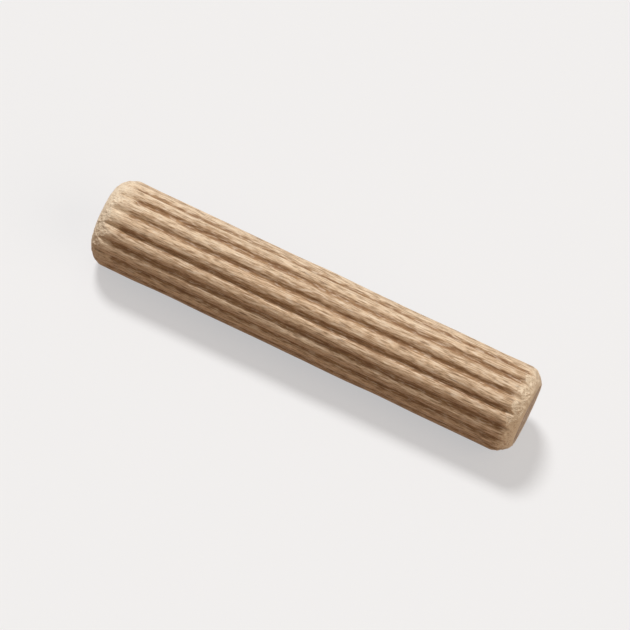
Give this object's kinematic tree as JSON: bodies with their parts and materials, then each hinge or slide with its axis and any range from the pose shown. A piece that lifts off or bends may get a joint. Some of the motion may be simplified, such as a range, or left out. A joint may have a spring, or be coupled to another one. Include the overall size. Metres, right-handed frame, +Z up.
{
  "type": "dowel pin",
  "caption": "Straight-fluted wooden dowel pin with chamfered ends, glued half into each of two boards to line them up and hold them together.",
  "frame": {"origin": "on the surface the pin lies on, under the middle of its length", "axes": "+X along the pin's axis, +Z up; the pin lies on its side with one flute straight down, so it rests on the two ridges beside that flute"},
  "size_m": [0.04, 0.0078, 0.0079],
  "materials": {
    "beech": "matte"
  },
  "bodies": {
    "root": {"dowel": "beech"}
  },
  "joints": []
}
